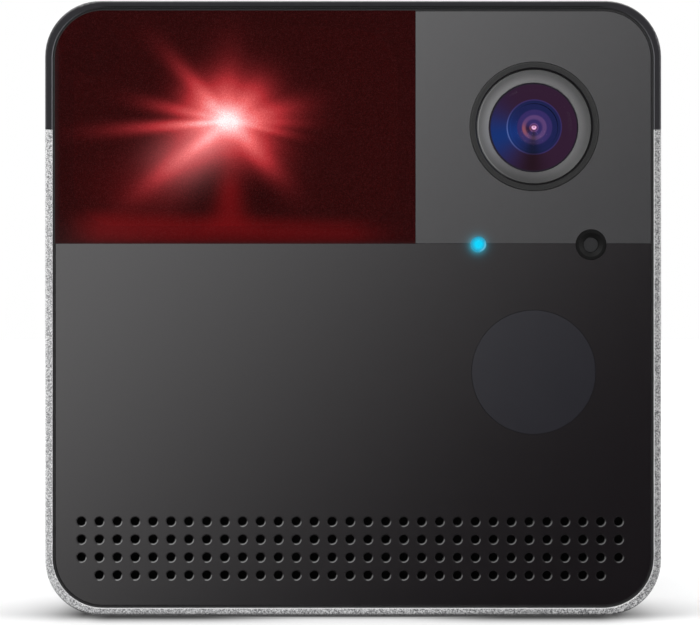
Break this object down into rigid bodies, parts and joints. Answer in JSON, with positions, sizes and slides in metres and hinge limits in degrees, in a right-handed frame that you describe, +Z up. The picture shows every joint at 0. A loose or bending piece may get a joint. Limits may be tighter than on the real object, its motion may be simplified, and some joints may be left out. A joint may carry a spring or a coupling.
{
  "type": "pet camera",
  "caption": "Cube-shaped home camera that watches a pet and steers a laser dot for play, with a speaker, night lights, a tripod thread and a rear power socket.",
  "frame": {"origin": "on the surface that the camera stands on, under the middle of the case", "axes": "+X to the viewer's right, -Y towards the front with the lens and window, +Z up"},
  "size_m": [0.086, 0.079, 0.0863],
  "materials": {
    "housing_metal": "fine bead blasting, clear anodised",
    "cap_plastic": "smooth satin moulding",
    "panel_plastic": "smooth satin gloss",
    "camera_grey": "smooth satin gloss",
    "window_red": "polished, tinted dark red",
    "ir_filter": "smooth, passes infrared only",
    "black_plastic": "fine spark texture",
    "cover_plastic": "fine spark texture",
    "trim_dark": "smooth satin",
    "bezel_grey": "fine satin",
    "lens_black": "black anodised",
    "coated_glass": "polished, anti-reflection coated",
    "clear_glass": "polished",
    "clear_plastic": "polished, lit from behind",
    "led_package": "moulded clear lens on a pale base",
    "rubber_grey": "matt silicone",
    "rubber_black": "matt",
    "paper_cone": "pressed pulp",
    "cloth_black": "woven acoustic cloth",
    "copper": "enamelled copper",
    "brass": "turned",
    "steel": "turned and ground",
    "motor_can": "pressed, nickel plated",
    "dark_steel": "black oxide",
    "magnet_steel": "zinc plated",
    "tin_plate": "bright tin",
    "sink_metal": "extruded, clear anodised",
    "white_gear": "moulded acetal",
    "black_gear": "moulded nylon",
    "board_green": "solder resist on glass epoxy",
    "board_black": "black solder resist",
    "chip_black": "moulded epoxy",
    "ribbon_white": "laminated polyester",
    "lead_insulation": "soft vinyl",
    "antenna_film": "copper on amber film",
    "button_plastic": "smooth satin"
  },
  "bodies": {
    "case": {"lower_housing": "housing_metal", "top_cap": "cap_plastic", "foot_pad": "rubber_grey", "tripod_insert": "brass", "chassis_frame": "black_plastic", "front_panel": "panel_plastic", "camera_panel": "camera_grey", "laser_window": "window_red", "ir_window": "ir_filter", "front_carrier": "black_plastic", "speaker_mesh": "cloth_black", "light_pipe": "clear_plastic", "status_led": "led_package", "sensor_shroud": "black_plastic", "sensor_lens": "clear_plastic", "front_board": "board_black", "ir_leds": "led_package", "lens_trim_ring": "trim_dark", "lens_bezel": "bezel_grey", "lens_barrel": "lens_black", "front_lens": "coated_glass", "inner_lenses": "coated_glass", "lens_holder": "black_plastic", "filter_solenoid": "copper", "image_sensor": "chip_black", "camera_board": "board_green", "board_ribbons": "ribbon_white", "speaker_basket": "black_plastic", "speaker_surround": "rubber_black", "speaker_magnet": "magnet_steel", "speaker_leads": "lead_insulation", "laser_shroud": "black_plastic", "pan_bush": "brass", "pan_motor": "motor_can", "rear_cover": "cover_plastic", "main_board": "board_green", "shield_can": "tin_plate", "heat_sink": "sink_metal", "power_socket": "steel", "switch_body": "chip_black", "wifi_antenna": "antenna_film", "case_screws": "dark_steel", "board_screws": "steel"},
    "pan_fork": {"pan_yoke": "black_gear", "pan_gear": "white_gear", "pan_clip": "dark_steel", "tilt_motor": "motor_can"},
    "pan_drive": {"pan_pinion": "brass"},
    "laser_head": {"laser_cradle": "black_gear", "tilt_gear": "white_gear", "laser_barrel": "brass", "laser_lens": "clear_glass", "laser_board": "board_green"},
    "tilt_drive": {"tilt_pinion": "brass"},
    "filter_carriage": {"filter_slider": "black_gear", "filter_glasses": "clear_glass"},
    "speaker_diaphragm": {"speaker_cone": "paper_cone", "voice_coil": "copper"},
    "setup_key": {"setup_button": "button_plastic", "switch_plunger": "black_gear"}
  },
  "joints": [
    {"name": "laser_pan", "type": "hinge", "parent": "case", "child": "pan_fork", "pos_m": [-0.01715, -0.015, 0.055], "axis": [0, 0, 1], "range_deg": [-40, 40]},
    {"name": "pan_pinion_spin", "type": "hinge", "parent": "case", "child": "pan_drive", "pos_m": [-0.01715, 0, 0.055], "axis": [0, 0, 1], "range_deg": [-160, 160]},
    {"name": "laser_tilt", "type": "hinge", "parent": "pan_fork", "child": "laser_head", "pos_m": [-0.01715, -0.015, 0.0693], "axis": [1, 0, 0], "range_deg": [-15, 30]},
    {"name": "tilt_pinion_spin", "type": "hinge", "parent": "pan_fork", "child": "tilt_drive", "pos_m": [-0.0275, -0.003, 0.0693], "axis": [1, 0, 0], "range_deg": [-120, 60]},
    {"name": "filter_shift", "type": "slide", "parent": "case", "child": "filter_carriage", "axis": [0, 0, 1], "range_m": [0, 0.0066]},
    {"name": "cone_travel", "type": "slide", "parent": "case", "child": "speaker_diaphragm", "axis": [0, -1, 0], "range_m": [-0.0005, 0.0005], "stiffness_N_per_m": 400, "deforming": ["speaker_surround"]},
    {"name": "setup_press", "type": "slide", "parent": "case", "child": "setup_key", "axis": [0, -1, 0], "range_m": [0, 0.0005], "stiffness_N_per_m": 600}
  ],
  "couplings": [
    {"joint": "pan_pinion_spin", "follows": "laser_pan", "ratio": -4},
    {"joint": "tilt_pinion_spin", "follows": "laser_tilt", "ratio": -4}
  ]
}
